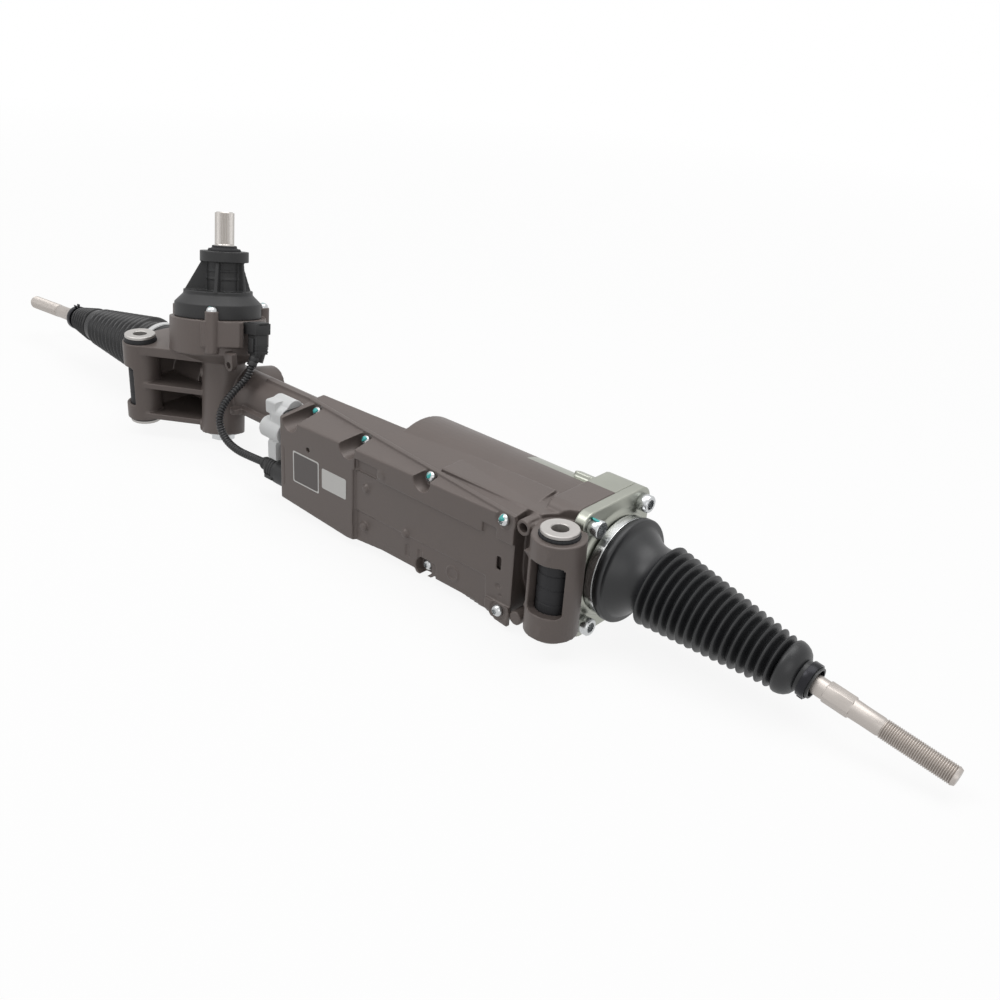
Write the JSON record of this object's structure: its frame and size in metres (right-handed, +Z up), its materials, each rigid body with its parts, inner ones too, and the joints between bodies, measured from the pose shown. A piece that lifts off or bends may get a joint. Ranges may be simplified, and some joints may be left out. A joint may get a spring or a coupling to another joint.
{
  "type": "electric power steering rack",
  "caption": "Rack and pinion steering gear with a motor round the rack, a control unit, rubber bellows and two tie rods.",
  "frame": {"origin": "midway between the two mounting bushes, in the plane of their lower faces", "axes": "+X along the rack towards the motor end, +Z up along the mounting bolts, -Y towards the control unit"},
  "size_m": [1.0975, 0.128, 0.2139],
  "materials": {
    "cast": "dark coated casting",
    "bare": "machined",
    "steel": "ground",
    "zinc": "zinc plated",
    "rubber": "matte",
    "plastic": "glass filled",
    "clear": "translucent natural",
    "board": "solder resist",
    "copper": "enamelled winding",
    "lamination": "stacked sheet",
    "magnet": "sintered",
    "liner": "natural"
  },
  "bodies": {
    "housing": {"rack_housing": "cast", "control_unit_cover": "cast", "cover_screws": "zinc", "circuit_board": "board", "power_connector": "plastic", "connector_cap": "clear", "signal_socket": "plastic", "signal_plug": "plastic", "end_cover": "bare", "end_cover_bolts": "zinc", "sensor_cover": "plastic", "sensor_cover_screws": "zinc", "shaft_seal": "rubber", "torque_sensor": "plastic", "pinion_upper_bearing": "steel", "pinion_lower_bearing": "steel", "pinion_plug": "zinc", "rack_bush": "liner", "yoke": "bare", "yoke_spring": "steel", "yoke_adjuster": "bare", "motor_stator": "lamination", "motor_windings": "copper", "rotor_bearing": "steel", "nut_bearing": "steel", "rotor_sensor": "board", "sensor_socket": "plastic", "sensor_plug": "plastic", "sensor_lead": "plastic", "near_bush_sleeve": "bare", "far_bush_sleeve": "bare", "near_bush_rubber": "rubber", "far_bush_rubber": "rubber", "near_boot": "rubber", "far_boot": "rubber", "near_boot_clamp": "steel", "far_boot_clamp": "steel"},
    "rack": {"rack_bar": "steel", "near_ball_socket": "steel", "far_ball_socket": "steel"},
    "pinion": {"pinion": "steel", "torsion_bar": "steel"},
    "input": {"input_shaft": "steel", "sensor_magnet": "magnet"},
    "rotor": {"motor_rotor": "magnet", "ball_nut": "steel"},
    "near_seat": {"near_ball_seat": "liner"},
    "near_rod": {"near_tie_rod": "steel", "near_rod_clamp": "plastic"},
    "far_seat": {"far_ball_seat": "liner"},
    "far_rod": {"far_tie_rod": "steel", "far_rod_clamp": "plastic"}
  },
  "joints": [
    {"name": "rotor_turn", "type": "hinge", "parent": "housing", "child": "rotor", "pos_m": [0.1, 0.058, 0.04], "axis": [1, 0, 0], "range_deg": [-3858, 3858]},
    {"name": "rack_slide", "type": "slide", "parent": "housing", "child": "rack", "axis": [1, 0, 0], "range_m": [-0.0752, 0.0752], "deforming": ["near_boot", "far_boot"]},
    {"name": "pinion_turn", "type": "hinge", "parent": "housing", "child": "pinion", "pos_m": [-0.1838, 0.04067, 0.04306], "axis": [-0.1541, 0.1716, 0.973], "range_deg": [-507, 507]},
    {"name": "input_twist", "type": "hinge", "parent": "pinion", "child": "input", "pos_m": [-0.18996, 0.04753, 0.08198], "axis": [-0.1541, 0.1716, 0.973], "range_deg": [-4.5, 4.5], "stiffness_Nm_per_rad": 5},
    {"name": "near_swing", "type": "hinge", "parent": "rack", "child": "near_seat", "pos_m": [0.321, 0.058, 0.04], "axis": [0, 0, 1], "range_deg": [-15, 15]},
    {"name": "near_lift", "type": "hinge", "parent": "near_seat", "child": "near_rod", "pos_m": [0.321, 0.058, 0.04], "axis": [0, 1, 0], "range_deg": [-27.5, 8.5]},
    {"name": "far_swing", "type": "hinge", "parent": "rack", "child": "far_seat", "pos_m": [-0.3465, 0.058, 0.04], "axis": [0, 0, 1], "range_deg": [-15, 15]},
    {"name": "far_lift", "type": "hinge", "parent": "far_seat", "child": "far_rod", "pos_m": [-0.3465, 0.058, 0.04], "axis": [0, 1, 0], "range_deg": [-14.7, 21.3]}
  ],
  "couplings": [
    {"joint": "rack_slide", "follows": "rotor_turn", "m_per_rad": 0.0011141},
    {"joint": "pinion_turn", "follows": "rotor_turn", "ratio": -0.13105}
  ]
}
